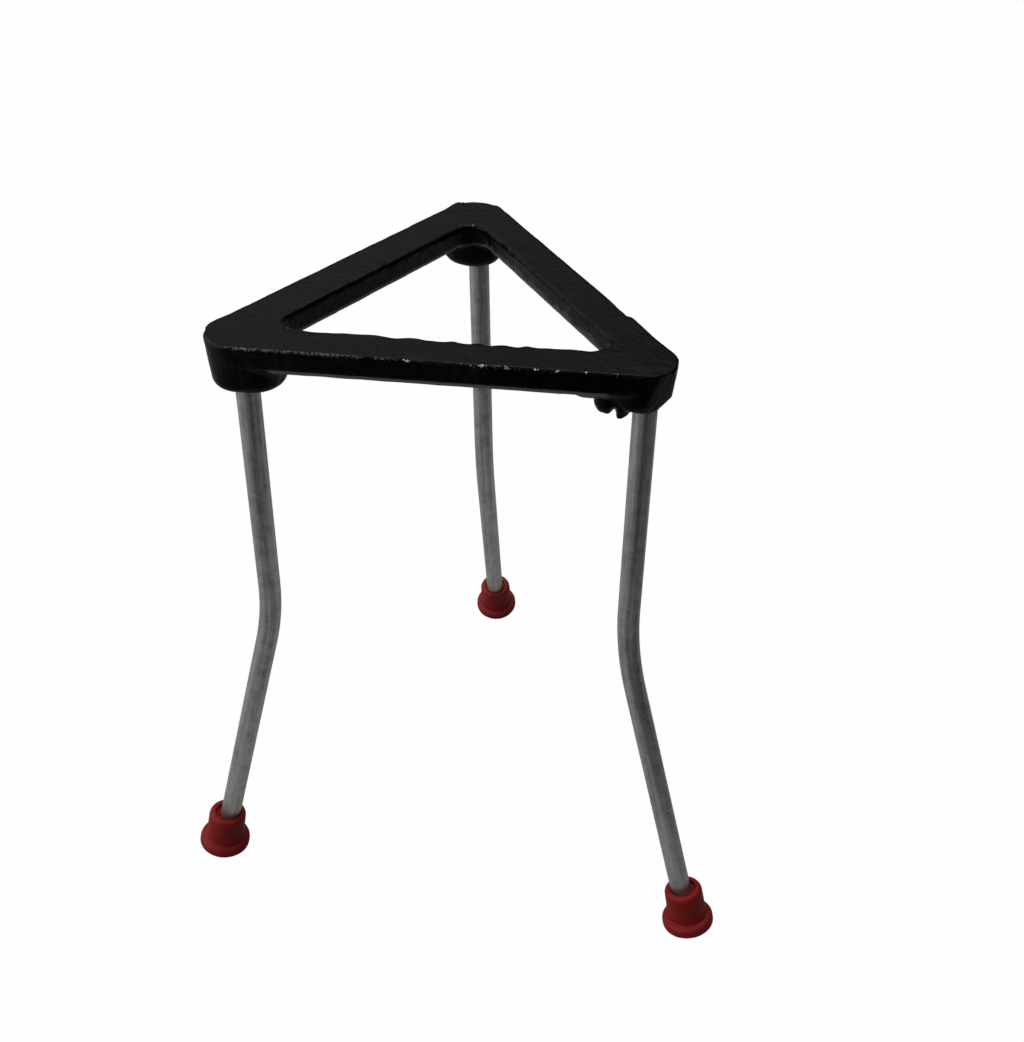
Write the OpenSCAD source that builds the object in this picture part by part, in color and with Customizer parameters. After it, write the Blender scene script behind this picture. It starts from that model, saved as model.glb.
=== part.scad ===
// Lab tripod stand: a triangular cast iron top on three bent steel rod legs
// with rubber feet. Millimetres, +Z up. The origin lies on the floor, in the
// middle of the box that the three feet make. The front bar of the top faces -Y.
// Lists of three are in the order left leg, right leg, rear leg.

/* [Stand] */
// Height of the top face above the floor
stand_h = 237; // [180:0.2:300]
// Distance between two leg sockets
leg_spacing = 127.5; // [100:0.5:170]

/* [Top casting] */
// Width of a bar across its top face
bar_w = 14.4; // [11:0.5:16]
// Depth of a bar
bar_h = 9.4; // [8:0.2:13]
// Radius of the outer corners of the top face
corner_r = 10.4; // [9:0.1:13]
// Radius of the corners of the triangular window
window_r = 6.4; // [5:0.1:9]
// Draft of every side wall, in degrees
draft = 4.5; // [1:0.5:6]
// Rounding along the lower edges of the bars
bar_round = 3; // [1:0.5:4]
// Rounding along the outer edges of the top face
top_round = 0.8; // [0.3:0.1:1.2]
// Rounding along the window's upper edges
window_round = 1.6; // [0.8:0.2:2.4]
// Rounding of a boss around its lower end
boss_round = 4; // [1:0.5:5]
// Radius of the hollow fillet between a boss and the underside of a bar
fillet_r = 4.5; // [2:0.5:6]

/* [Bosses as cast] */
// Height of each boss below the top face
boss_h = [18, 15.2, 18.6];
// Distance from the middle of each corner's curve inwards to the middle of its boss
boss_inset = [2.5, 1.6, 2.4];
// Tapered lumps below the bars, where iron filled the mould beside the bosses or ran out
// of it. Each has its bar, the end of the bar that it is near (0 the first, 1 the last),
// its distance along the bar from the corner there and across it from the outer wall,
// the depth of its lower end, and its radius at the lower and the upper end.
lumps = [
    [0, 0, 8.5, 7.2, 14.8, 2.6, 6.3], [2, 1, 8.5, 7.2, 14, 2.8, 6.3],
    [2, 0, 8, 7.2, 16, 3, 6.3], [0, 1, 10.9, 6.6, 13.4, 3, 5.2],
    [0, 1, 10.7, 5.2, 16.2, 1.4, 3.4], [0, 1, 6.2, 4.6, 17.6, 1.1, 2.8]];
// Depth of the upper ends of those lumps, inside the bars
lump_top = 5.4; // [4:0.2:6]

/* [Legs] */
// Diameter of the rod
rod_d = 8; // [6:0.5:10]
// Iron left above the blind sockets
socket_roof = 5.5; // [4:0.5:9]
// Depth of the bend's corner below the top face
bend_depth = 116.5; // [80:0.5:125]
// Radius of the bend along the middle of the rod
bend_r = 105; // [60:5:140]
// Chamfer at both ends of the rod
rod_chamfer = 0.6; // [0.2:0.1:1]
// Gap between the rod and the wall that holds it
rod_gap = 0.05; // [0.02:0.01:0.1]

/* [Legs as built] */
// Angle of each bend, in degrees
bend_angle = [14.3, 19.2, 18.4];
// Outward lean of each upper leg, in degrees
lean_out = [0.3, 2.5, 0.5];
// Sideways lean of each upper leg, in degrees
lean_side = [-0.3, 0, -2.4];
// Turn of each leg about its socket, away from straight outward, in degrees
leg_turn = [-2.3, -9.5, -0.2];
// Offset of each socket from its corner, along X and Y
socket_offset = [[1.6, 0], [1.1, -0.7], [0.5, -0.1]];

/* [Rubber feet] */
// Radius of the flange on the floor
flange_r = 10.2; // [8:0.1:13]
// Thickness of the flange
flange_h = 4.6; // [3:0.1:6]
// Rounding of the flange's lower edge
sole_round = 1.2; // [0.4:0.1:1.6]
// Rounding of the flange's upper edge
flange_round = 2; // [1:0.1:2.4]
// Radius of the neck where it leaves the flange
neck_r = 7.9; // [7:0.1:8]
// Radius of the neck at its rim
rim_r = 7.4; // [6.8:0.1:8]
// Rounding of the rim
rim_round = 1.5; // [0.5:0.1:1.8]
// Height of a foot along its rod
foot_h = 17.8; // [14:0.5:24]
// Rubber below the end of the rod
sole_h = 4.5; // [3:0.1:7]
// Radius and depth of the recess around the rod
recess = [4.9, 1.6];
// Angle by which the rubber gives way towards the floor, in degrees
foot_yield = 4; // [0:0.5:6]
// Depth of the flat that the floor leaves on the flange
foot_wear = 0.3; // [0:0.1:0.8]

/* [Hidden] */
$fn = 72;
iron = "#1c1c1d";
zinc = "#9a9f9b";
red_rubber = "#8c2a2c";
LEFT = 0;
RIGHT = 1;
REAR = 2;
// The corner that each leg stands at, as an angle about the middle of the top
corner_angle = [210, 330, 90];
// Outward direction of each bar: front, back right, back left
bar_angle = [270, 30, 150];
socket_circle = leg_spacing / sqrt(3);
// Distance from the middle of the top to the line between two corners
line_d = socket_circle / 2;
// How far a bar reaches inside that line
inner_reach = bar_w - corner_r;
// Middle of a window corner's curve, from the middle of the top
window_corner = 2 * (line_d - inner_reach) - 2 * window_r;
rod_r = rod_d / 2;
hole_r = rod_r + rod_gap;
// How far a boss stays inside the outer walls of its two bars
boss_clear = 0.1;
// Radius of a boss on the level of the top face
function boss_top_r(k) = corner_r + boss_inset[k] * sin(30) - boss_clear;
// Radius of a boss where it comes out below the bars
function boss_r(k) = boss_top_r(k) - bar_h * tan(draft);
// How far a boss's fillet is set into what it joins, how far it reaches out over
// the rounds of a bar's lower edges, and how far its sides lean in on the way down
fillet_bite = 0.3;
// How far a corner stands out from the walls that it joins, to meet them at an angle
corner_bite = 0.02;
fillet_side = 1.2;
fillet_lean = 1.5;
// Overlap of two pieces of one solid, and how far a cutter runs past a face
joint = 0.05;
past = 1;
// How much thinner the rod is in its bend, on the radius
bend_thin = 0.01;

// ---- directions and places ---------------------------------------------------
function turned_x(v, a) = [v.x, v.y * cos(a) - v.z * sin(a), v.y * sin(a) + v.z * cos(a)];
function turned_y(v, a) = [v.x * cos(a) + v.z * sin(a), v.y, v.z * cos(a) - v.x * sin(a)];
function turned_z(v, a) = [v.x * cos(a) - v.y * sin(a), v.x * sin(a) + v.y * cos(a), v.z];

// A leg's own frame starts at its socket, on the level of the top face, with +X outward.
function socket_at(k) = [
    socket_circle * cos(corner_angle[k]) + socket_offset[k].x,
    socket_circle * sin(corner_angle[k]) + socket_offset[k].y,
    stand_h];
function from_leg(k, v) =
    turned_z(turned_y(turned_x(v, lean_side[k]), -lean_out[k]), corner_angle[k] + leg_turn[k]);

// The bend starts and ends at the same distance from the corner that its straights would make
function bend_start(k) = [0, 0, bend_r * tan(bend_angle[k] / 2) - bend_depth];
function bend_end(k) = bend_start(k)
    + bend_r * [1 - cos(bend_angle[k]), 0, -sin(bend_angle[k])];
function lower_way(k) = [sin(bend_angle[k]), 0, -cos(bend_angle[k])];

// The foot leans less than its rod by the angle that the rubber gives way.
function foot_tilt(k) = bend_angle[k] - foot_yield;
// Height of the middle of the flange's base when its lowest edge is worn flat on the floor
function base_height(k) =
    let (
        rise = from_leg(k, [-sin(foot_tilt(k)), 0, cos(foot_tilt(k))]).z,
        run = sqrt(1 - rise * rise))
    (flange_r - sole_round) * run + sole_round * (1 - rise) - foot_wear;

// Length of the lower straight, from the bend to the middle of the flange's base
function lower_length(k) =
    (stand_h + from_leg(k, bend_end(k)).z - base_height(k)) / -from_leg(k, lower_way(k)).z;
function base_centre(k) = bend_end(k) + lower_length(k) * lower_way(k);
bases = [for (k = [LEFT:REAR]) socket_at(k) + from_leg(k, base_centre(k))];
middle = [
    (min([for (b = bases) b.x]) + max([for (b = bases) b.x])) / 2,
    (min([for (b = bases) b.y]) + max([for (b = bases) b.y])) / 2];

module in_stand() {
    translate([-middle.x, -middle.y, 0]) children();
}

module in_leg(k) {
    translate(socket_at(k))
        rotate([0, 0, corner_angle[k] + leg_turn[k]])
            rotate([lean_side[k], -lean_out[k], 0])
                children();
}

module in_lower_leg(k) {
    translate(bend_end(k)) rotate([0, -bend_angle[k], 0]) children();
}

// ---- casting: profiles with the top face on y = 0 ------------------------------
// What a round takes off the edge of a drafted wall that starts at x = 0: the top
// edge, or the edge at a depth. The round touches the wall and the level face.
module edge_cut(r, depth = 0) {
    upper = depth == 0;
    centre_y = upper ? -r : r - depth;
    centre = [centre_y * tan(draft) - r / cos(draft), centre_y];
    touch = centre + r * [cos(draft), -sin(draft)];
    beyond = upper ? past : -depth - past;
    difference() {
        polygon([[centre.x, beyond], centre, touch, [past, touch.y], [past, beyond]]);
        translate(centre) circle(r);
    }
}

// A body from a straight edge at x = 0 out to a drafted wall at x = reach
module one_wall_profile(reach, depth, low_round, high_round = top_round) {
    difference() {
        polygon([[0, 0], [reach, 0], [reach - depth * tan(draft), -depth], [0, -depth]]);
        translate([reach, 0]) {
            edge_cut(high_round);
            edge_cut(low_round, depth);
        }
    }
}

// A bar's section, with its outer wall at x = 0 and its inner wall at x = bar_w
module bar_profile() {
    lean = bar_h * tan(draft);
    difference() {
        polygon([[0, 0], [bar_w, 0], [bar_w - lean, -bar_h], [lean, -bar_h]]);
        for (side = [0, 1])
            translate([side * bar_w, 0]) mirror([1 - side, 0]) {
                edge_cut([top_round, window_round][side]);
                edge_cut(bar_round, bar_h);
            }
    }
}

// Stands a profile up along a bar, from its first corner, with x towards the window
module along_bar(k) {
    rotate([0, 0, bar_angle[k] + 90])
        translate([-leg_spacing / 2, -line_d - corner_r, 0])
            rotate([90, 0, 90])
                children();
}

module bar(k) {
    along_bar(k) linear_extrude(leg_spacing) bar_profile();
}

module at_corner(k, inset = 0) {
    rotate([0, 0, corner_angle[k]]) translate([socket_circle - inset, 0, 0]) children();
}

// The outer corner runs down as deep as the boss, which stands a little further in.
module boss(k) {
    at_corner(k)
        rotate_extrude() one_wall_profile(corner_r + corner_bite, boss_h[k], boss_round);
    at_corner(k, boss_inset[k])
        rotate_extrude() one_wall_profile(boss_top_r(k), boss_h[k], boss_round);
}

// What a bar's section may add below its level underside, next to a boss
module fillet_width() {
    edge = (bar_h - bar_round) * tan(draft) + bar_round / cos(draft) - fillet_side;
    deep = bar_h + fillet_r;
    polygon([[edge, -bar_h / 2], [bar_w - edge, -bar_h / 2], [bar_w - edge, -bar_h],
             [bar_w - edge - fillet_lean, -deep], [edge + fillet_lean, -deep], [edge, -bar_h]]);
}

// The hollow curve by which the underside of a bar runs down into a boss. Its circle
// is set a little way into both, so that it meets them at an angle.
module boss_fillet(k) {
    inside = boss_r(k) - fillet_r;
    centre = [boss_r(k) + fillet_r - fillet_bite, fillet_bite - fillet_r - bar_h];
    rotate_extrude() difference() {
        translate([inside, centre.y]) square([centre.x - inside, bar_h / 2 - centre.y - bar_h]);
        translate(centre) circle(fillet_r);
    }
}

module bar_fillets(k) {
    for (far = [0, 1]) {
        end = (k + 1 - far) % 3;
        along_bar(k)
            translate([0, 0, far * leg_spacing]) mirror([0, 0, far])
                intersection() {
                    linear_extrude(boss_r(end) + fillet_r + boss_inset[end]) fillet_width();
                    translate([corner_r + boss_inset[end] * sin(30), 0,
                               boss_inset[end] * cos(30)])
                        rotate([-90, 0, 0]) boss_fillet(end);
                }
    }
}

// Metal between two bars and their boss, before the window's corner is cut in it
module corner_fill() {
    half = window_r * sin(60);
    front = window_corner + window_r * cos(60);
    translate([0, 0, -bar_h]) linear_extrude(bar_h)
        polygon([[front, -half], [front, half], [socket_circle, 1], [socket_circle, -1]]);
}

// The window's corner: everything inside a drafted wall curved about its middle
module window_corner_cut() {
    far = window_r + bar_round;
    translate([window_corner, 0, 0]) rotate_extrude() difference() {
        translate([0, -bar_h - past]) square([far, bar_h + 2 * past]);
        translate([window_r + bar_w, 0]) mirror([1, 0])
            one_wall_profile(bar_w, bar_h, bar_round, window_round);
    }
}

module lumps_below() {
    for (l = lumps) {
        along = l[1] * leg_spacing + (1 - 2 * l[1]) * l[2];
        along_bar(l[0]) translate([l[3], -l[4], along])
            rotate([-90, 0, 0]) cylinder(h = l[4] - lump_top, r1 = l[5], r2 = l[6]);
    }
}

module top_casting() {
    color(iron) in_stand() difference() {
        translate([0, 0, stand_h]) union() {
            difference() {
                union()
                    for (k = [0:2]) {
                        bar(k);
                        rotate([0, 0, corner_angle[k]]) corner_fill();
                    }
                for (k = [0:2]) rotate([0, 0, corner_angle[k]]) window_corner_cut();
            }
            for (k = [0:2]) {
                bar_fillets(k);
                boss(k);
            }
            lumps_below();
        }
        for (k = [LEFT:REAR])
            in_leg(k) translate([0, 0, -boss_h[k] - past])
                cylinder(h = boss_h[k] + past - socket_roof, r = hole_r);
    }
}

// ---- legs ------------------------------------------------------------------------
// A straight length of rod from z = 0 upwards, chamfered at its upper end
module rod_end(length) {
    rotate_extrude()
        polygon([[0, 0], [rod_r, 0], [rod_r, length - rod_chamfer],
                 [rod_r - rod_chamfer, length], [0, length]]);
}

module leg(k) {
    color(zinc) in_stand() in_leg(k) {
        translate(bend_start(k) - [0, 0, joint]) rod_end(joint - socket_roof - rod_gap - bend_start(k).z);
        translate([bend_r, 0, bend_start(k).z])
            rotate([90, 0, 0]) rotate([0, 0, 180])
                rotate_extrude(angle = bend_angle[k])
                    translate([bend_r, 0]) circle(rod_r - bend_thin);
        in_lower_leg(k) translate([0, 0, joint]) mirror([0, 0, 1])
            rod_end(lower_length(k) - sole_h + joint);
    }
}

// ---- feet ------------------------------------------------------------------------
// A round of radius r that a corner of a profile gets: the corner lies at x = y = 0,
// with the body below and inside it, and a wall that leans in by an angle going up
module corner_cut(r, lean = 0) {
    centre = [-r * (1 + sin(lean)) / cos(lean), -r];
    touch = centre + r * [cos(lean), sin(lean)];
    difference() {
        polygon([[centre.x, past], centre, touch, [touch.x + past, touch.y], [past, past]]);
        translate(centre) circle(r);
    }
}

module foot_profile() {
    neck_lean = atan2(neck_r - rim_r, foot_h - flange_h);
    difference() {
        polygon([[0, 0], [flange_r, 0], [flange_r, flange_h], [neck_r, flange_h],
                 [rim_r, foot_h], [0, foot_h]]);
        translate([flange_r, 0]) mirror([0, 1]) corner_cut(sole_round);
        translate([flange_r, flange_h]) corner_cut(flange_round);
        translate([rim_r, foot_h]) corner_cut(rim_round, neck_lean);
        translate([0, foot_h - recess[1]]) square([recess[0], recess[1] + past]);
    }
}

module foot(k) {
    color(red_rubber) in_stand() difference() {
        in_leg(k) difference() {
            translate(base_centre(k)) rotate([0, -foot_tilt(k), 0]) rotate_extrude() foot_profile();
            in_lower_leg(k) mirror([0, 0, 1]) cylinder(h = lower_length(k) - sole_h, r = hole_r);
        }
        // the floor
        translate([0, 0, -stand_h]) linear_extrude(stand_h) square(4 * leg_spacing, center = true);
    }
}

top_casting();
leg(LEFT);  // leg_left
leg(RIGHT);  // leg_right
leg(REAR);  // leg_rear
foot(LEFT);  // foot_left
foot(RIGHT);  // foot_right
foot(REAR);  // foot_rear
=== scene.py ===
import math

import bmesh
import bpy
import numpy as np
from bpy.props import (
    FloatProperty,
    FloatVectorProperty,
    IntProperty,
    PointerProperty,
)
from mathutils import Matrix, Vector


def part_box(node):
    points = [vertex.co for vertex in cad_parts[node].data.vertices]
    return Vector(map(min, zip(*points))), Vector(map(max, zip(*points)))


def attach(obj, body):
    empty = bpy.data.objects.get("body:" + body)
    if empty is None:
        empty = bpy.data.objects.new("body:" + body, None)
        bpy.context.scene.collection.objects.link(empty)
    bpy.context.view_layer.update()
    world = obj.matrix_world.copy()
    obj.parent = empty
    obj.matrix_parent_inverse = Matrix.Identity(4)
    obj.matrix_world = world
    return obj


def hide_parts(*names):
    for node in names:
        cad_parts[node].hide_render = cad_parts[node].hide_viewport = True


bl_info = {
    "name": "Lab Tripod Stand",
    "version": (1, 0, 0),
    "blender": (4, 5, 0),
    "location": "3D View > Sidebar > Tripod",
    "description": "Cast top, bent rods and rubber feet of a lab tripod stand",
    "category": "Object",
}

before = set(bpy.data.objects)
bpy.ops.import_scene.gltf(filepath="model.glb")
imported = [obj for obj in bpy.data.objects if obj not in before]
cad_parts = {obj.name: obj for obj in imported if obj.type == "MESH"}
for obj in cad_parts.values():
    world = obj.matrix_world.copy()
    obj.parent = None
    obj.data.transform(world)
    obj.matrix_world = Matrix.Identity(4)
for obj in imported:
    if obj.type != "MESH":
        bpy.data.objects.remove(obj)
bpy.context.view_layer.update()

MM = 0.001
SIDES = ("left", "right", "rear")
CAST_LOW, CAST_HIGH = (np.array(c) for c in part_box("top_casting"))
TOP = CAST_HIGH[2]                          # level of the stand's top face
MIDDLE_X = (CAST_LOW[0] + CAST_HIGH[0]) / 2
CORNER_R = 10.4 * MM                        # outer corners of the casting
# How far the bars' outer walls are from the middle of their triangle
REACH = (MIDDLE_X - CAST_LOW[0] - CORNER_R) * math.tan(math.radians(30)) + CORNER_R
CENTRE = np.array([MIDDLE_X, CAST_LOW[1] + REACH])


def level_way(degrees):
    """A level direction as x and y."""
    angle = math.radians(degrees)
    return np.array([math.cos(angle), math.sin(angle)])


# Straight out from each bar: front, back right and back left
BAR_WAYS = np.array([level_way(degrees) for degrees in (270, 30, 150)])
# The axes of the bosses under the left, right and rear corners
BOSS_AXES = CENTRE + 2 * (REACH - CORNER_R) * np.array(
    [level_way(degrees) for degrees in (210, 330, 90)])


# ---- sizes and colours ---------------------------------------------------------
def metres(name, description, default, **more):
    """A length property in metres."""
    return FloatProperty(name=name, description=description, default=default,
                         subtype="DISTANCE", unit="LENGTH", precision=5, **more)


def tint(name, description, default):
    """A colour property, as linear red, green and blue."""
    return FloatVectorProperty(name=name, description=description, default=default,
                               subtype="COLOR", size=3, min=0, max=1)


class TripodCasting(bpy.types.PropertyGroup):
    """Cast iron top"""
    cell: metres("Mesh cell", "Cell of the casting's fine mesh", 0.5 * MM)
    roughcast: metres("Rough casting", "Height of the shallow lumps all over", 0.11 * MM)
    edge_wave: metres("Wavy edges", "How far the upper edges wander", 0.38 * MM)
    brush_height: metres("Brush marks", "Height of the marks in the paint", 0.28 * MM)
    paint: tint("Paint", "Black paint", (0.0010, 0.0011, 0.0010))
    paint_worn: tint("Rubbed paint", "Paint rubbed thin on the top", (0.0044, 0.0044, 0.0041))
    smear: tint("Smeared paint", "Greyish smears on the walls", (0.008, 0.0085, 0.0078))
    # Painted light: paler paint only on the window's wall that faces the left lamp
    dust_and_painted_light: tint("Dusty paint", "Dust on the window's left-facing wall", (0.046, 0.046, 0.043))
    # A painted reflection of the floor: paler paint on the downward-facing lower edges
    floor_reflection_tint: tint("Scuffed paint", "Dusty, scuffed paint along the lower edges",
                  (0.20, 0.20, 0.188))
    worn: tint("Worn edge", "Dull iron where an edge has worn", (0.105, 0.100, 0.095))
    # Also painted glints: the light flecks where the paint chipped off stand in for
    # highlights on the edges
    bare_iron_and_glints: tint("Bare iron", "Iron where the paint has chipped off", (0.60, 0.60, 0.58))
    rust: tint("Rust", "Rust that shows through at a corner", (0.024, 0.015, 0.008))


class TripodRods(bpy.types.PropertyGroup):
    """Bent steel rods"""
    sides: IntProperty(name="Sides", description="Faces round a rod", default=72, min=12)
    step: metres("Step", "Distance between two rings of a rod", 1.5 * MM)
    zinc: tint("Zinc", "Dull zinc plating", (0.54, 0.56, 0.535))
    zinc_dark: tint("Dark zinc", "Stained zinc plating", (0.25, 0.265, 0.25))
    pinhole_cell: metres("Pinhole spacing", "Spacing of the dark pinholes", 6.5 * MM)


class TripodFeet(bpy.types.PropertyGroup):
    """Rubber feet"""
    cell: metres("Mesh cell", "Cell of a foot's fine mesh", 0.30 * MM)
    waist: metres("Waist", "How far the neck is drawn in half way up", 0.2 * MM)
    rubber: tint("Rubber", "Dark red rubber", (0.215, 0.0040, 0.0042))
    dust: tint("Dust", "Rubber with dust on it", (0.21, 0.026, 0.024))


class TripodStage(bpy.types.PropertyGroup):
    """Floor, lamps and camera"""
    eye: FloatVectorProperty(name="Camera place", description="Where the camera stands",
                             default=(0.03432, -0.37489, 0.40718), subtype="XYZ",
                             unit="LENGTH", size=3)
    turn: FloatProperty(name="Turn", description="Camera's turn to the left",
                        default=math.radians(3.008), subtype="ANGLE", unit="ROTATION")
    tilt: FloatProperty(name="Tilt", description="Camera's tilt down",
                        default=math.radians(36.672), subtype="ANGLE", unit="ROTATION")
    roll: FloatProperty(name="Roll", description="Camera's roll",
                        default=math.radians(2.530), subtype="ANGLE", unit="ROTATION")
    lens: FloatProperty(name="Lens", description="Focal length in millimetres",
                        default=39.73, min=1)
    floor: tint("Floor", "Pale floor", (0.28, 0.28, 0.28))
    card: FloatProperty(name="Card", description="Grey level of the darkest card",
                        default=0.014, min=0, max=1)


# ---- numpy helpers -------------------------------------------------------------
def smooth(low, high, x):
    """Smoothstep: 0 below low, 1 above high, and 3t^2 - 2t^3 between them."""
    t = np.clip((x - low) / (high - low), 0, 1)
    return t * t * (3 - 2 * t)


def hill(x, middle, width):
    """A bell: e to the minus square of the distance from the middle over the width."""
    return np.exp(-((x - middle) / width) ** 2)


def hills(x, bells):
    """The sum of several bells, each with its middle, its width and its height."""
    return sum(height * hill(x, middle, width) for middle, width, height in bells)


def lattice_value(cells, seed):
    """A fixed value from 0 to 1 for each whole-numbered lattice point: its three numbers
    are multiplied by large primes, added, and their bits are mixed."""
    mixed = (cells[..., 0] * 374761393 + cells[..., 1] * 668265263
             + cells[..., 2] * 2147483647 + seed * 144665) & 0xFFFFFFFF
    mixed = ((mixed ^ (mixed >> 13)) * 1274126177) & 0xFFFFFFFF
    return ((mixed ^ (mixed >> 16)) & 0xFFFFFF) / 0xFFFFFF


def noise(points, size, seed):
    """Value noise from -1 to 1: the values at the eight corners of a point's lattice cell,
    blended by the smoothstep of its place in the cell along each axis."""
    place = points / size
    cell = np.floor(place).astype(np.int64)
    part = place - cell
    weight = part * part * (3 - 2 * part)
    total = np.zeros(len(points))
    for corner in np.ndindex(2, 2, 2):
        share = np.prod(np.where(corner, weight, 1 - weight), axis=1)
        total += share * lattice_value(cell + np.array(corner), seed)
    return 2 * total - 1


def mesh_points(mesh):
    """All vertices of a mesh as rows."""
    points = np.empty(len(mesh.vertices) * 3)
    mesh.vertices.foreach_get("co", points)
    return points.reshape(-1, 3)


def mesh_normals(mesh):
    """All vertex normals of a mesh as rows."""
    normals = np.empty(len(mesh.vertices) * 3)
    mesh.vertex_normals.foreach_get("vector", normals)
    return normals.reshape(-1, 3)


def mesh_triangles(mesh):
    """The three vertex numbers of each triangle as rows."""
    mesh.calc_loop_triangles()
    corners = np.empty(len(mesh.loop_triangles) * 3, dtype=np.int64)
    mesh.loop_triangles.foreach_get("vertices", corners)
    return corners.reshape(-1, 3)


def give_values(mesh, name, values):
    """Stores one number for each vertex, for a material to read."""
    mesh.attributes.new(name, "FLOAT", "POINT").data.foreach_set(
        "value", np.asarray(values, dtype=np.float32))


def egg(middle, radii, rings=20, sides=32):
    """An ellipsoid: its middle plus three radii times the sine of the polar angle by the
    cosine and by the sine of the angle around, and the cosine of the polar angle."""
    down, around = np.meshgrid(np.linspace(0, math.pi, rings + 1)[1:-1],
                               np.arange(sides) * 2 * math.pi / sides, indexing="ij")
    way = np.stack([np.sin(down) * np.cos(around), np.sin(down) * np.sin(around),
                    np.cos(down)], axis=-1).reshape(-1, 3)
    points = np.vstack([way, (0, 0, 1), (0, 0, -1)]) * radii + middle
    top, low, last = len(way), len(way) + 1, (rings - 2) * sides
    faces = []
    for side in range(sides):
        after = (side + 1) % sides
        faces += [(ring + side, ring + sides + side, ring + sides + after, ring + after)
                  for ring in range(0, last, sides)]
        faces += [(top, side, after), (low, last + after, last + side)]
    mesh = bpy.data.meshes.new("egg")
    mesh.from_pydata(points.tolist(), [], faces)
    return mesh


def fine_copy(node, name, cell, extra=()):
    """A copy of a CAD node's closed surface, joined with extra closed surfaces and meshed
    anew in even cells."""
    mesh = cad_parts[node].data.copy()
    joined = bmesh.new()
    joined.from_mesh(mesh)
    bmesh.ops.remove_doubles(joined, verts=joined.verts, dist=1e-6)
    for added in extra:
        joined.from_mesh(added)
        bpy.data.meshes.remove(added)
    joined.to_mesh(mesh)
    joined.free()
    piece = bpy.data.objects.new(name, mesh)
    bpy.context.scene.collection.objects.link(piece)
    even = piece.modifiers.new("Even cells", "REMESH")
    even.mode = "VOXEL"
    even.voxel_size = cell
    shape = bpy.data.meshes.new_from_object(
        piece.evaluated_get(bpy.context.evaluated_depsgraph_get()))
    piece.modifiers.clear()
    piece.data = shape
    shape.name = name
    bpy.data.meshes.remove(mesh)
    return piece


def reshape(piece, points):
    """Puts new points into a piece's mesh and shades it smooth."""
    piece.data.vertices.foreach_set("co", points.ravel())
    piece.data.update()
    piece.data.shade_smooth()


def stand_in_for(piece, node, material):
    """Finishes a piece that shows in place of a CAD node."""
    piece.data.materials.clear()
    piece.data.materials.append(material)
    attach(piece, "root")
    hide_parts(node)


# ---- shader helpers ------------------------------------------------------------
class Value:
    """A number or vector in a node tree. Operators on it add Math nodes."""

    def __init__(self, tree, socket):
        self.tree, self.socket = tree, socket

    def math(self, operation, *values, swap=False, clamp=False):
        inputs = [self, *values][::-1] if swap else [self, *values]
        return self.tree.node("ShaderNodeMath", *inputs, operation=operation,
                              use_clamp=clamp)

    def __add__(self, other): return self.math("ADD", other)
    def __radd__(self, other): return self.math("ADD", other)
    def __sub__(self, other): return self.math("SUBTRACT", other)
    def __rsub__(self, other): return self.math("SUBTRACT", other, swap=True)
    def __mul__(self, other): return self.math("MULTIPLY", other)
    def __rmul__(self, other): return self.math("MULTIPLY", other)

    def clamp(self): return self.math("ADD", 0.0, clamp=True)
    def maximum(self, other): return self.math("MAXIMUM", other)

    def steps(self, low, high):
        """0 below low, 1 above high and a smooth curve between them."""
        return self.tree.node("ShaderNodeMapRange", self, low, high, 0.0, 1.0,
                              interpolation_type="SMOOTHSTEP")


class Finish:
    """A node tree that one method fills with every kind of node."""

    def __init__(self, tree, output):
        self.nodes, self.links = tree.nodes, tree.links
        self.nodes.clear()
        self.output = self.nodes.new(output)

    def node(self, kind, *values, out=0, **settings):
        """Adds a node. Settings are set first. The values go to the node's inputs in
        order, and a dictionary gives inputs by name or number."""
        node = self.nodes.new(kind)
        for name, setting in settings.items():
            setattr(node, name, setting)
        pairs = []
        for number, value in enumerate(values):
            pairs += list(value.items()) if isinstance(value, dict) else [(number, value)]
        for key, value in pairs:
            if isinstance(value, Value):
                self.links.new(value.socket, node.inputs[key])
            else:
                node.inputs[key].default_value = value
        self.last = node
        return Value(self, node.outputs[out])

    def also(self, name):
        """Another output of the node that was added last."""
        return Value(self, self.last.outputs[name])

    def place(self, turn=(0, 0, 0), scale=(1, 1, 1)):
        """Object coordinates, turned and scaled by a Mapping node."""
        point = self.node("ShaderNodeTexCoord", out="Object")
        return self.node("ShaderNodeMapping",
                         {"Vector": point, "Rotation": turn, "Scale": scale})

    def noise(self, point, size, detail=3.0, rough=0.55, distortion=0.0):
        """Noise from 0 to 1 with features of about the given size in metres."""
        return self.node("ShaderNodeTexNoise", {
            "Vector": point, "Scale": 1 / size, "Detail": detail, "Roughness": rough,
            "Distortion": distortion})

    def attribute(self, name):
        """A number stored on each vertex of the piece."""
        return self.node("ShaderNodeAttribute", out="Fac", attribute_name=name)

    def mix(self, share, first, second):
        """A colour between two colours."""
        def rgba(colour):
            return colour if isinstance(colour, Value) else (*colour, 1.0)
        return self.node("ShaderNodeMix", {0: share, 6: rgba(first), 7: rgba(second)},
                         out=2, data_type="RGBA")

    def bump(self, height, distance):
        """A normal that follows a height, over a distance in metres."""
        return self.node("ShaderNodeBump", {"Height": height, "Distance": distance})

    def principled(self, colour, roughness, normal, **constants):
        """Ends the tree in one Principled shader."""
        self.end(self.node("ShaderNodeBsdfPrincipled", {
            "Base Color": colour, "Roughness": roughness, "Normal": normal,
            **{name.replace("_", " "): value for name, value in constants.items()}}))

    def end(self, shader):
        """Sends a shader to the output."""
        self.links.new(shader.socket, self.output.inputs["Surface"])


def new_material(name):
    """An empty material and the helper that fills it."""
    material = bpy.data.materials.new(name)
    material.use_nodes = True
    return material, Finish(material.node_tree, "ShaderNodeOutputMaterial")
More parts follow.
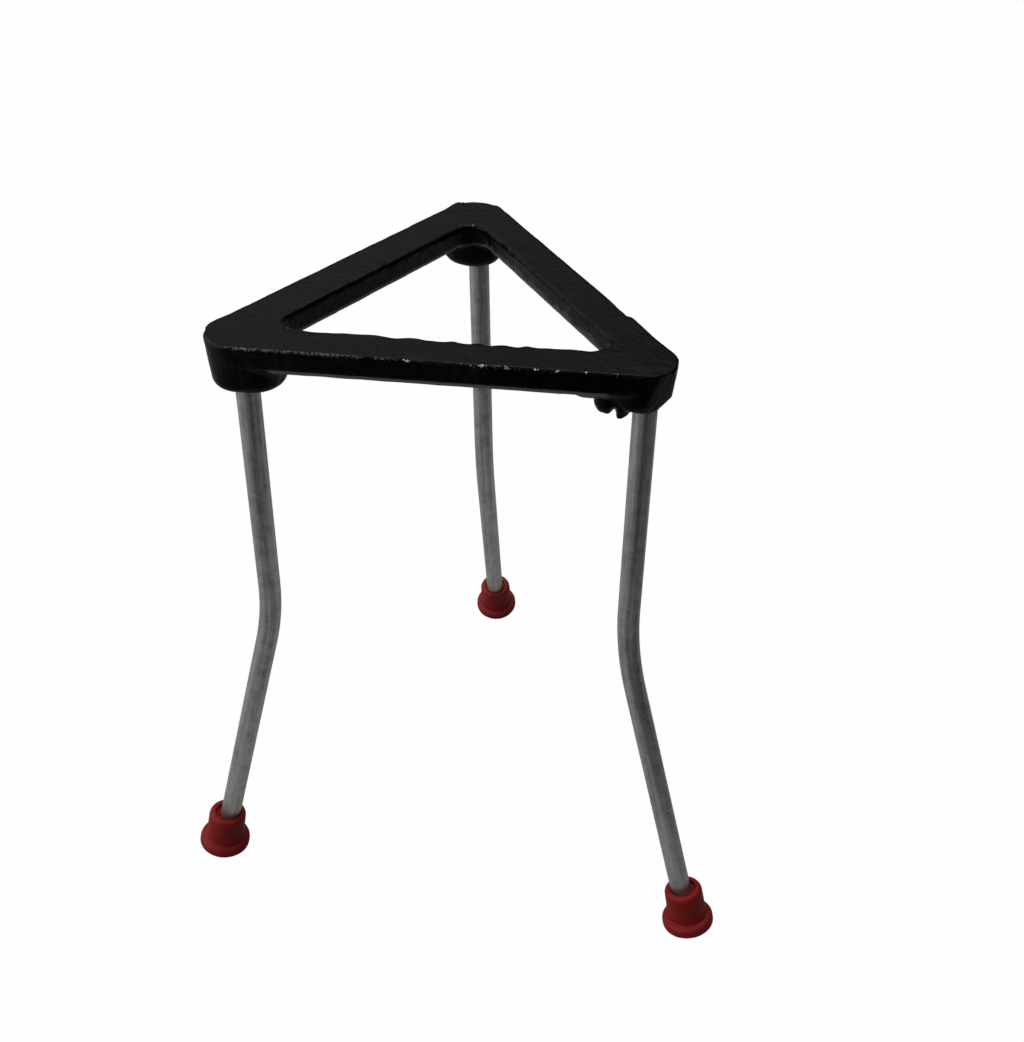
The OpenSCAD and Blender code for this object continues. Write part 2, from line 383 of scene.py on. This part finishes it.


# ---- casting -------------------------------------------------------------------
# Bells along the front bar, in mm from its middle to the right: lumps that its inner
# edge has, chips in the paint of its outer edge that are also painted glints, and worn
# lengths of that edge
EDGE_LUMPS = ((-50, 16, 0.9), (-24, 10, 0.8), (-8, 5, 0.5), (4, 2.2, 0.55),
              (11.6, 1.9, 0.6), (19.4, 2.6, 0.65), (27, 2.2, 0.5), (42, 11, 0.6))
EDGE_CHIPS_AND_GLINTS = ((-57, 2.5, 0.45), (-9.3, 2.2, 1.0), (11, 1.4, 0.75), (14.6, 1.5, 0.9),
              (21.8, 1.9, 1.0), (30.7, 1.2, 0.8), (37.2, 1.1, 0.75), (46, 1.3, 0.8),
              (54.8, 1.7, 0.95))
EDGE_WEAR = ((-60, 5, 0.9), (-50, 6, 0.9), (-38, 8, 1.0), (-28, 6, 0.6), (-12, 8, 0.45),
             (12, 8, 0.5), (22, 5, 0.4))
# Iron that ran out beside the right boss: middle and radii of each egg-shaped part, in
# mm, inwards from the right end, inwards from the front wall and down from the top
RUN_OUT = (((21.5, 6.6, 12.1), (3.9, 4.0, 4.9)), ((15.8, 6.4, 13.5), (2.6, 3.0, 4.8)),
           ((13.0, 7.4, 12.0), (4.0, 4.0, 4.2)), ((27.5, 5.4, 8.1), (6.0, 3.5, 3.2)))
# Each boss that swelled in the mould: its corner, the way in degrees and the distance
# in mm
SWELLS = ((0, 0, 2.0), (2, 180, 1.5))
# How far the outer and the inner wall of each bar stand out, in mm: front, back right
# and back left
WALLS = ((0.1, 0.42, 0.6), (0.0, -0.45, 0.6))
# Bulges of the walls: place from the middle of the triangle, width and height in mm
BULGES = ((-73.4, -29.8, 4, 0.3), (-7.4, 80.9, 5, 0.5), (71.7, -30.2, 4, 0.2),
          (-50.9, -29.3, 6, 1.0))
# The small step in the back right bar's outer wall: its place along Y and its height
STEP_Y, STEP_HEIGHT = -30 * MM, 0.9 * MM
# Where the right corner rusts, in mm from the middle of that corner's curve
RUST_X, RUST_Y = 7.8, -6.6
# The flats on the right corner: the way round in degrees, the share of the way down,
# then in mm the distance out, the level under the top and the distance on, square to it
FLATS = ((-45, 0.208, 10.1, 0, 0), (-18, 0.673, 5.5, 11.2, 3.1))


def painted_iron(look):
    """Brushed-on black paint: soft wrinkles and strokes, rubbed patches, worn and chipped
    upper edges and rust at one corner, with painted light: lower edges paler as a painted
    reflection of the floor, a paler wall where it faces the left lamp, and chips whose light
    flecks are also painted glints."""
    material, paint = new_material("Black paint")
    spot = paint.place()
    strokes_at = paint.place(turn=(0, 0, math.radians(-12)), scale=(0.38, 1, 0.7))
    strokes = paint.noise(strokes_at, 1.5 * MM, detail=3, rough=0.5, distortion=0.8)
    wrinkles = paint.noise(spot, 3.4 * MM, detail=3, rough=0.5, distortion=0.7)
    grain = paint.noise(spot, 0.5 * MM, detail=2)
    runs = paint.noise(paint.place(scale=(1, 1, 0.16)), 1.4 * MM, detail=3)
    patches = paint.noise(spot, 8 * MM, detail=4, rough=0.6)
    flakes = paint.noise(spot, 0.85 * MM, detail=4, rough=0.65)
    level, edge, chips_and_glints, wear, under, dust_and_painted_light, crust, rusty = (
        paint.attribute(name)
        for name in ("level", "edge", "chips_and_glints", "wear", "under", "dust_and_painted_light", "crust",
                     "rusty"))

    rubbed = (patches.steps(0.42, 0.70) * 0.7 + grain.steps(0.5, 0.8) * 0.25) * level
    colour = paint.mix(rubbed, look.paint, look.paint_worn)
    smeared = (runs * 0.5 + patches * 0.5).steps(0.48, 0.66) * (1 - level)
    colour = paint.mix(smeared * 0.7, colour, look.smear)
    # Painted light: paler paint only on the wall that faces the left lamp, paler towards the
    # bottom, with a ragged border
    dust = (dust_and_painted_light + (patches - 0.5) * 1.1 + (flakes - 0.5) * 0.5).steps(0.58, 0.70)
    colour = paint.mix(dust * dust_and_painted_light.steps(0.0, 0.15), colour, look.dust_and_painted_light)
    # Painted reflection of the floor: paler paint on the downward-facing lower edges, with a
    # ragged border
    painted_floor_reflection = flakes * 0.5 + patches * 0.5 + under * 0.45
    painted_floor_reflection = (painted_floor_reflection.steps(0.62, 0.80) * under).clamp()
    colour = paint.mix(painted_floor_reflection * 0.85, colour, look.floor_reflection_tint)
    rust = (paint.noise(spot, 1.3 * MM, detail=4).steps(0.42, 0.62) * rusty).clamp()
    colour = paint.mix(rust, colour, look.rust)
    worn = ((flakes + wear * 0.2).steps(0.60, 0.72) * edge).clamp()
    colour = paint.mix(worn * 0.9, colour, look.worn)
    # Chips in the paint show bare iron, and their light flecks are also painted glints
    chipped = ((flakes + chips_and_glints * 0.24).steps(0.70, 0.76) * edge).clamp()
    colour = paint.mix(chipped, colour, look.bare_iron_and_glints)

    height = (strokes * (0.25 + level * 0.30) + wrinkles * (0.8 + crust * 1.4)
              + grain * 0.16 + runs * (1 - level) * 0.22)
    roughness = 0.17 + patches * 0.12 + grain * 0.05 + chipped * 0.1 + painted_floor_reflection * 0.25
    paint.principled(colour, roughness, paint.bump(height, look.brush_height),
                     Specular_IOR_Level=0.09)
    return material


def run_out():
    """The egg-shaped parts of the iron that ran out below the front bar."""
    corner = np.array([CAST_HIGH[0], CAST_LOW[1], TOP])
    return [egg(corner + np.array(middle) * (-MM, MM, -MM), np.array(radii) * MM)
            for middle, radii in RUN_OUT]


def cast_surface(points, normals, look):
    """The uneven skin of a hand-moulded casting. Each point moves along its normal by two
    sizes of noise, and further at the upper edges. The front bar's inner edge has lumps,
    the walls and two bosses stand out here and there, and the right corner is ground
    flat. Returns the new points and, for the paint, what each of them has."""
    under_top = TOP - points[:, 2]
    place = points[:, :2] - CENTRE
    outward = np.stack([place @ way for way in BAR_WAYS])
    bar = outward.argmax(0)
    front = bar == 0
    inner = smooth(REACH - 6 * MM, REACH - 9 * MM, outward.max(0))
    level = smooth(0.75, 0.97, normals[:, 2])
    upper = 1 - smooth(1.0 * MM, 3.0 * MM, under_top)
    rim = upper * (1 - smooth(0.93, 0.999, normals[:, 2]))

    # rough casting all over, and edges that wander
    push = look.roughcast * (0.65 * noise(points, 6 * MM, 1)
                             + 0.45 * noise(points, 2.2 * MM, 2))
    push *= 1 - 0.6 * level
    wander = 0.7 * noise(points, 5.5 * MM, 3) + 0.5 * noise(points, 2.4 * MM, 4)
    push += look.edge_wave * rim * wander * np.where(front, 0.8, 0.25 + 0.55 * inner)

    behind = smooth(STEP_Y - 1.5 * MM, STEP_Y + 1.5 * MM, points[:, 1]) - 0.5
    push -= (STEP_HEIGHT * behind * hill(points[:, 1], STEP_Y, 9 * MM)
             * (bar == 1) * (1 - inner) * (1 - level))

    # walls that stand out, less where an outer wall turns into a corner
    share = np.exp((outward - outward.max(0)) / (2 * MM))
    outer_walls, inner_walls = np.array(WALLS) @ (share / share.sum(0))
    stands_out = outer_walls * (1 - inner) + inner_walls * inner + sum(
        height * hill(np.hypot(place[:, 0] - x * MM, place[:, 1] - y * MM), 0, width * MM)
        for x, y, width, height in BULGES)
    square_on = np.abs((normals[:, :2] * BAR_WAYS[bar]).sum(1))
    square_on /= np.maximum(np.hypot(normals[:, 0], normals[:, 1]), 1e-6)
    push += (MM * stands_out * (1 - level) * (1 - smooth(8.5 * MM, 12 * MM, under_top))
             * (inner + (1 - inner) * smooth(0.87, 0.98, square_on)))

    along = (points[:, 0] - MIDDLE_X) / MM
    push += MM * hills(along, EDGE_LUMPS) * upper * inner * front * (1 - level)
    rough = hill(np.hypot(points[:, 0] - (CAST_HIGH[0] - 18 * MM),
                          points[:, 1] - (CAST_LOW[1] + 6 * MM)), 0, 9 * MM)
    push += (0.30 * MM * rough * smooth(9 * MM, 11 * MM, under_top)
             * noise(points, 1.9 * MM, 5))

    # what the paint needs to know
    front_edge = 1 - smooth(0.5 * MM, 1.1 * MM,
                            np.hypot(under_top, points[:, 1] - CAST_LOW[1]))
    # Chips at the rear window corner's upper edge, which are also painted glints
    rear = np.hypot(points[:, 0] - MIDDLE_X, points[:, 1] - (CAST_HIGH[1] - 20.5 * MM))
    rear_chips_and_glints = hill(rear, 0, 4.5 * MM) * rim
    # Downward-facing lower edges, which get a painted reflection of the floor
    floor_reflection_edge = (smooth(0.12, 0.36, -normals[:, 2]) * smooth(5.5 * MM, 7 * MM, under_top)
                  * (1 - smooth(10.5 * MM, 13 * MM, under_top)))
    boss_near = np.min([np.hypot(*(points[:, :2] - axis).T) for axis in BOSS_AXES], axis=0)
    # The window's wall that faces the left lamp, which gets paler paint as painted light
    painted_lit_wall = smooth(0.55, 0.8, -normals[:, 0]) * (bar == 1) * inner
    right = points[:, :2] - (CAST_HIGH[0] - CORNER_R, CAST_LOW[1] + CORNER_R)
    rust_near = np.hypot(right[:, 0] - RUST_X * MM, right[:, 1] - RUST_Y * MM)
    values = {
        "level": level,
        "edge": np.clip(front_edge + rear_chips_and_glints, 0, 1),
        "chips_and_glints": hills(along, EDGE_CHIPS_AND_GLINTS) * front_edge + 0.9 * rear_chips_and_glints,
        "wear": hills(along, EDGE_WEAR) * front_edge + 0.6 * rear_chips_and_glints,
        "under": floor_reflection_edge * smooth(11 * MM, 17 * MM, boss_near),
        # painted light on the wall that faces the left lamp, growing downwards from 1 mm
        # below the top
        "dust_and_painted_light": painted_lit_wall * np.clip((under_top - 1 * MM) / (7 * MM), 0, 1),
        "crust": hill(np.hypot(right[:, 0], right[:, 1]), 0, 11 * MM) * level,
        "rusty": hill(rust_near, 0, 2.6 * MM) * upper}
    return ground_flat(swollen(points + normals * push[:, None])), values


def swollen(points):
    """Moves one side of a boss, below its bars, sideways. The shift is greatest straight
    that way from the boss's axis and ends a little over a quarter turn to each side."""
    points = points.copy()
    for corner, degrees, distance in SWELLS:
        way = level_way(degrees)
        out = points[:, :2] - BOSS_AXES[corner]
        reach = np.hypot(out[:, 0], out[:, 1])
        share = smooth(-0.1, 0.9, out @ way / np.maximum(reach, MM))
        share *= smooth(5.5 * MM, 8 * MM, reach) * (1 - smooth(13 * MM, 17 * MM, reach))
        share *= smooth(5 * MM, 9.5 * MM, TOP - points[:, 2])
        points[:, :2] += distance * MM * share[:, None] * way
    return points


def ground_flat(points):
    """Two flats on the right corner: one stands upright and one slopes in under it. A
    point beyond a flat's plane moves nearly all the way back to it, square to the plane."""
    axis = np.array([CAST_HIGH[0] - CORNER_R, CAST_LOW[1] + CORNER_R, TOP])
    near = np.hypot(points[:, 0] - axis[0], points[:, 1] - axis[1]) < 14 * MM
    for degrees, down, out, below, on in FLATS:
        way = np.array([*level_way(degrees), 0.0])
        square = way * math.sqrt(1 - down ** 2) - np.array([0, 0, down])
        through = axis + MM * (way * out - np.array([0, 0, below]) + square * on)
        beyond = np.maximum((points - through) @ square, 0) * near
        points = points - 0.92 * beyond[:, None] * square
    return points


class OBJECT_OT_tripod_casting(bpy.types.Operator):
    """Makes the painted cast iron top"""
    bl_idname = "object.tripod_casting"
    bl_label = "Cast top"

    def execute(self, context):
        look = context.scene.tripod_casting
        piece = fine_copy("top_casting", "cast_top", look.cell, run_out())
        points, values = cast_surface(mesh_points(piece.data),
                                      mesh_normals(piece.data), look)
        reshape(piece, points)
        for name, numbers in values.items():
            give_values(piece.data, name, numbers)
        stand_in_for(piece, "top_casting", painted_iron(look))
        return {"FINISHED"}


# ---- rods ----------------------------------------------------------------------
def rod_middle(node, step):
    """The middle line of a rod, from its top down, and its radius. A level plane cuts the
    rod's triangles into short pieces. By Green's rule the cut's area is half the sum of
    the cross products of the pieces' ends, and its centre is the sum of the ends, each
    pair weighted by its cross product, over six times the area."""
    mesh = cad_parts[node].data
    corners = mesh_points(mesh)[mesh_triangles(mesh)]
    low, high = corners[..., 2].min(), corners[..., 2].max()
    ends = 6 * MM
    levels = np.linspace(high - ends, low + ends, int((high - low - 2 * ends) / step))
    above = corners[None, :, :, 2] - levels[:, None, None]
    starts = np.zeros((len(levels), len(corners), 2))
    stops = np.zeros_like(starts)
    for i, j in ((0, 1), (1, 2), (2, 0)):
        rises = (above[..., i] < 0) & (above[..., j] >= 0)
        falls = (above[..., i] >= 0) & (above[..., j] < 0)
        share = above[..., i] / np.where(rises | falls, above[..., i] - above[..., j], 1)
        crossing = corners[None, :, i, :2] + share[..., None] * (
            corners[:, j, :2] - corners[:, i, :2])[None]
        starts = np.where(rises[..., None], crossing, starts)
        stops = np.where(falls[..., None], crossing, stops)
    cross = starts[..., 0] * stops[..., 1] - starts[..., 1] * stops[..., 0]
    area = cross.sum(1) / 2
    centre = ((starts + stops) * cross[..., None]).sum(1) / (6 * area[:, None])
    line = np.column_stack([centre, levels])
    straight, further = len(line) // 4, len(line) // 3
    way = line[further] - line[straight]
    radius = math.sqrt(abs(area[straight]) * abs(way[2]) / np.linalg.norm(way) / math.pi)
    return line, radius, high, low


def extended(line, radius, high, low):
    """The middle line, carried straight on at both ends to the rod's end faces."""
    ends = []
    for end, inner, level in ((line[0], line[8], high), (line[-1], line[-9], low)):
        way = (end - inner) / np.linalg.norm(end - inner)
        lean = radius * math.hypot(way[0], way[1])
        reach = (level - math.copysign(lean, way[2]) - end[2]) / way[2]
        ends.append(end + reach * way)
    return np.vstack([ends[0], line, ends[1]])


def rod_surface(line, radius, sides):
    """A round section carried along a line: each point of the line plus the radius times
    the cosine and sine of an angle along two directions square to the line's own.
    Returns points, four-sided faces and each face corner's angle and length."""
    way = np.gradient(line, axis=0)
    way /= np.linalg.norm(way, axis=1)[:, None]
    side = np.cross(way, (0.0, 1.0, 0.0))
    side /= np.linalg.norm(side, axis=1)[:, None]
    front = np.cross(way, side)
    angle = np.arange(sides) * 2 * math.pi / sides
    ring = (np.cos(angle)[None, :, None] * side[:, None]
            + np.sin(angle)[None, :, None] * front[:, None])
    points = (line[:, None] + radius * ring).reshape(-1, 3)
    rows, columns = np.meshgrid(np.arange(len(line) - 1), np.arange(sides), indexing="ij")
    after = (columns + 1) % sides
    faces = np.stack([rows * sides + columns, (rows + 1) * sides + columns,
                      (rows + 1) * sides + after, rows * sides + after], axis=-1)
    steps = np.linalg.norm(np.diff(line, axis=0), axis=1)
    length = np.concatenate([[0], np.cumsum(steps)])
    corner_u = np.stack([columns, columns, columns + 1, columns + 1], axis=-1) / sides
    corner_v = length[np.stack([rows, rows + 1, rows + 1, rows], axis=-1)]
    flat = np.stack([corner_u, corner_v], axis=-1)
    return points, faces.reshape(-1, 4), flat.reshape(-1, 2)


def zinc_plated(look):
    """Dull zinc plating: spangled patches, streaks along the rod, stains and pinholes.
    The pattern's flat coordinates are rolled round the rod, so that it has no seam."""
    material, zinc = new_material("Zinc plating")
    spot = zinc.place()
    zinc.node("ShaderNodeSeparateXYZ", zinc.node("ShaderNodeUVMap", uv_map="along"))
    turn, along = zinc.also("X"), zinc.also("Y")
    angle = turn * (2 * math.pi)
    radius = 4 * MM
    # lengths are squeezed, which draws the pattern out along the rod
    rolled = zinc.node("ShaderNodeCombineXYZ", angle.math("COSINE") * radius,
                       angle.math("SINE") * radius, along * 0.035)
    streaks = zinc.noise(rolled, 0.9 * MM, detail=3, rough=0.6)
    long_stains = zinc.noise(rolled, 2.8 * MM, detail=2)
    patches = zinc.noise(spot, 4.5 * MM, detail=5, rough=0.62)
    crystals = zinc.noise(spot, 1.0 * MM, detail=3, rough=0.7)
    fine = zinc.noise(spot, 0.35 * MM, detail=2)
    pits = zinc.node("ShaderNodeTexVoronoi",
                     {"Vector": spot, "Scale": 1 / look.pinhole_cell}, out="Distance")
    chosen = zinc.node("ShaderNodeSeparateColor", zinc.also("Color")).steps(0.40, 0.45)
    pinholes = (1 - pits.steps(0.045, 0.085)) * chosen

    stain = (0.40 * patches.steps(0.38, 0.68) + 0.42 * streaks.steps(0.38, 0.70)
             + 0.45 * long_stains.steps(0.42, 0.66) + 0.25 * crystals.steps(0.4, 0.7)
             - 0.22).clamp()
    colour = zinc.mix(stain, look.zinc, look.zinc_dark)
    colour = zinc.mix(pinholes * 0.85, colour, (0.03, 0.032, 0.032))
    roughness = 0.24 + patches * 0.18 + crystals * 0.10
    height = crystals * 0.5 + streaks * 0.6 + fine * 0.25 - pinholes * 2.0
    zinc.principled(colour, roughness, zinc.bump(height, 0.045 * MM), Metallic=0.9)
    return material


class OBJECT_OT_tripod_rods(bpy.types.Operator):
    """Makes the three bent rods"""
    bl_idname = "object.tripod_rods"
    bl_label = "Bent rods"

    def execute(self, context):
        look = context.scene.tripod_rods
        material = zinc_plated(look)
        for side in SIDES:
            line, radius, high, low = rod_middle("leg_" + side, look.step)
            line = extended(line, radius, high, low)
            points, faces, flat = rod_surface(line, radius, look.sides)
            top = len(points)
            points = np.vstack([points, line[:1], line[-1:]])
            ring = np.arange(look.sides)
            edges = list(zip(ring.tolist(), ((ring + 1) % look.sides).tolist()))
            last = (len(line) - 1) * look.sides
            caps = [(top, a, b) for a, b in edges]
            caps += [(top + 1, last + b, last + a) for a, b in edges]
            mesh = bpy.data.meshes.new("rod_" + side)
            mesh.from_pydata(points.tolist(), [], faces.tolist() + caps)
            uv = np.vstack([flat, np.zeros((3 * len(caps), 2))])
            mesh.uv_layers.new(name="along").data.foreach_set("uv", uv.ravel())
            mesh.update()
            mesh.shade_smooth()
            if mesh.validate():
                raise RuntimeError("a rod's faces don't fit together")
            rod = bpy.data.objects.new("rod_" + side, mesh)
            context.scene.collection.objects.link(rod)
            stand_in_for(rod, "leg_" + side, material)
        return {"FINISHED"}


# ---- feet ----------------------------------------------------------------------
def red_rubber(look):
    """Matt red rubber with patches of dust and a fine moulded grain."""
    material, rubber = new_material("Red rubber")
    spot = rubber.place()
    cloud = rubber.noise(spot, 4 * MM, detail=4)
    grain = rubber.noise(spot, 0.4 * MM, detail=3)
    specks = rubber.noise(spot, 1.0 * MM, detail=3, rough=0.7)
    dust_and_painted_light = (cloud.steps(0.45, 0.8) * 0.3 + specks.steps(0.6, 0.8) * 0.2).clamp()
    colour = rubber.mix(dust_and_painted_light, look.rubber, look.dust)
    rubber.principled(colour, 0.46 + cloud * 0.15,
                      rubber.bump(grain * 0.5 + specks * 0.5, 0.03 * MM),
                      Specular_IOR_Level=0.22)
    return material


class OBJECT_OT_tripod_feet(bpy.types.Operator):
    """Makes the three rubber feet"""
    bl_idname = "object.tripod_feet"
    bl_label = "Rubber feet"

    def execute(self, context):
        look = context.scene.tripod_feet
        material = red_rubber(look)
        for number, side in enumerate(SIDES):
            foot = fine_copy("foot_" + side, "rubber_foot_" + side, look.cell)
            points, normals = mesh_points(foot.data), mesh_normals(foot.data)
            push = 0.06 * MM * noise(points, 4 * MM, 20 + number)
            push -= (look.waist * hill(points[:, 2], 10 * MM, 3.5 * MM)
                     * (1 - abs(normals[:, 2])))
            points = points + normals * push[:, None]
            points[:, 2] = np.maximum(points[:, 2], 0)
            reshape(foot, points)
            stand_in_for(foot, "foot_" + side, material)
        return {"FINISHED"}


# ---- stage ---------------------------------------------------------------------
# How much of its white the floor shows to the camera, and to glossy and passing rays
FLOOR_SEEN, FLOOR_GLOSS = 0.992, 0.09
# Grey cards that lie on the floor: name, times the darkest card's grey, and corners
CARDS = (
    ("front_card", 1, ((-0.3, -2.0), (2.0, -2.0), (0.14, -0.26), (0.035, -0.26))),
    ("left_card", 13, ((-2.2, -2.0), (-0.3, -2.0), (0.035, -0.26), (-0.09, -0.26))),
    ("right_card", 14, ((0.19, -0.30), (2.0, -2.0), (2.5, 0.3), (0.19, 0.03))))
# Lamps: name, place, point aimed at, size and power
LAMPS = (("left_softbox", (-1.1, -0.15, 0.75), (0, 0, 0.12), 2.0, 16),
         ("top_softbox", (0.1, 0.5, 1.5), (0, 0, 0.1), 1.0, 7))


def pale_floor(look):
    """A matt floor that keeps shadows, and that shows white to the camera and faintly to
    glossy and transmission rays."""
    material, floor = new_material("Pale floor")
    camera = floor.node("ShaderNodeLightPath", out="Is Camera Ray")
    glossy, passed = floor.also("Is Glossy Ray"), floor.also("Is Transmission Ray")
    seen = (camera * FLOOR_SEEN).maximum(glossy.maximum(passed) * FLOOR_GLOSS)
    matt = floor.node("ShaderNodeBsdfDiffuse", {"Color": (*look.floor, 1)})
    glow = floor.node("ShaderNodeEmission", {"Color": (1, 1, 1, 1), "Strength": 1.0})
    floor.end(floor.node("ShaderNodeMixShader", seen, matt, glow))
    return material


def matt_card(name, grey):
    """A matt grey sheet."""
    material, card = new_material(name)
    card.end(card.node("ShaderNodeBsdfDiffuse", {"Color": (grey, grey, grey, 1)}))
    return material


def studio(world):
    """A room that is dark near the horizon, bright at the height of a pale back wall and
    brighter at the left, and white to the camera."""
    world.use_nodes = True
    room = Finish(world.node_tree, "ShaderNodeOutputWorld")
    camera = room.node("ShaderNodeLightPath", out="Is Camera Ray")
    way = room.node("ShaderNodeTexCoord", out="Generated")
    across = room.node("ShaderNodeSeparateXYZ", way)
    height = room.also("Z")
    wall = height.steps(0.20, 0.50) * 0.44
    above_wall = height.steps(0.54, 0.68) * 0.27
    ceiling = height.steps(0.68, 0.95) * 0.22
    light = (0.012 + wall - above_wall + ceiling) * (1.5 - across.steps(-0.5, 0.4))
    dim = room.node("ShaderNodeBackground", {"Color": (1, 1, 1, 1), "Strength": light})
    white = room.node("ShaderNodeBackground", {"Color": (1, 1, 1, 1)})
    room.end(room.node("ShaderNodeMixShader", camera, dim, white))


def flat_card(name, corners, material):
    """A flat sheet with four corners that belongs to the stage."""
    mesh = bpy.data.meshes.new(name)
    mesh.from_pydata(corners, [], [(0, 1, 2, 3)])
    mesh.materials.append(material)
    card = bpy.data.objects.new(name, mesh)
    bpy.context.scene.collection.objects.link(card)
    return card


def lamp(name, place, aim, size, power):
    """A square soft lamp at a place, aimed at a point."""
    data = bpy.data.lights.new(name, "AREA")
    data.shape = "SQUARE"
    data.size, data.energy = size, power
    light = bpy.data.objects.new(name, data)
    bpy.context.scene.collection.objects.link(light)
    back = np.array(place) - np.array(aim)
    turn = math.atan2(back[0], -back[1])
    tip = math.atan2(math.hypot(back[0], back[1]), back[2])
    light.matrix_world = (Matrix.Translation(place) @ Matrix.Rotation(turn, 4, "Z")
                          @ Matrix.Rotation(tip, 4, "X"))
    return light


class OBJECT_OT_tripod_stage(bpy.types.Operator):
    """Makes the floor, the lamps, the world and the camera"""
    bl_idname = "object.tripod_stage"
    bl_label = "Stage"

    def execute(self, context):
        look = context.scene.tripod_stage
        scene = context.scene
        scene.view_settings.view_transform = "Standard"

        far, under = 4, -0.2 * MM
        flat_card("floor", [(-far, -far, under), (far, -far, under), (far, far, under),
                            (-far, far, under)], pale_floor(look))
        # only the stand's gloss shows these
        for name, times, corners in CARDS:
            card = flat_card(name, [(x, y, MM) for x, y in corners],
                             matt_card(name, times * look.card))
            card.visible_camera = False

        scene.world = bpy.data.worlds.new("Studio")
        studio(scene.world)
        for values in LAMPS:
            lamp(*values)

        data = bpy.data.cameras.new("camera")
        data.lens = look.lens
        data.sensor_width = 36
        data.clip_start, data.clip_end = 0.01, 30
        camera = bpy.data.objects.new("camera", data)
        scene.collection.objects.link(camera)
        camera.matrix_world = (
            Matrix.Translation(look.eye) @ Matrix.Rotation(look.turn, 4, "Z")
            @ Matrix.Rotation(math.pi / 2 - look.tilt, 4, "X")
            @ Matrix.Rotation(look.roll, 4, "Z"))
        scene.camera = camera
        return {"FINISHED"}


# ---- panel and registration ----------------------------------------------------
class VIEW3D_PT_tripod(bpy.types.Panel):
    """Lists the stand's pieces, their sizes and their colours"""
    bl_idname = "VIEW3D_PT_tripod"
    bl_label = "Lab tripod stand"
    bl_space_type = "VIEW_3D"
    bl_region_type = "UI"
    bl_category = "Tripod"

    def draw(self, context):
        for group, operator in GROUPS:
            box = self.layout.box()
            box.operator(operator.bl_idname)
            settings = getattr(context.scene, group)
            for name in settings.bl_rna.properties.keys():
                if name not in ("rna_type", "name"):
                    box.prop(settings, name)


GROUPS = (("tripod_casting", OBJECT_OT_tripod_casting),
          ("tripod_rods", OBJECT_OT_tripod_rods),
          ("tripod_feet", OBJECT_OT_tripod_feet),
          ("tripod_stage", OBJECT_OT_tripod_stage))
SETTINGS = (("tripod_casting", TripodCasting), ("tripod_rods", TripodRods),
            ("tripod_feet", TripodFeet), ("tripod_stage", TripodStage))
CLASSES = (*(kind for _, kind in SETTINGS), *(kind for _, kind in GROUPS),
           VIEW3D_PT_tripod)


def register():
    """Registers the classes and hangs the settings on the scene."""
    for kind in CLASSES:
        bpy.utils.register_class(kind)
    for name, kind in SETTINGS:
        setattr(bpy.types.Scene, name, PointerProperty(type=kind))


def unregister():
    """Undoes what register does."""
    for name, _ in SETTINGS:
        delattr(bpy.types.Scene, name)
    for kind in reversed(CLASSES):
        bpy.utils.unregister_class(kind)


def main():
    """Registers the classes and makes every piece."""
    register()
    bpy.ops.object.tripod_casting()
    bpy.ops.object.tripod_rods()
    bpy.ops.object.tripod_feet()
    bpy.ops.object.tripod_stage()


if __name__ == "__main__":
    main()
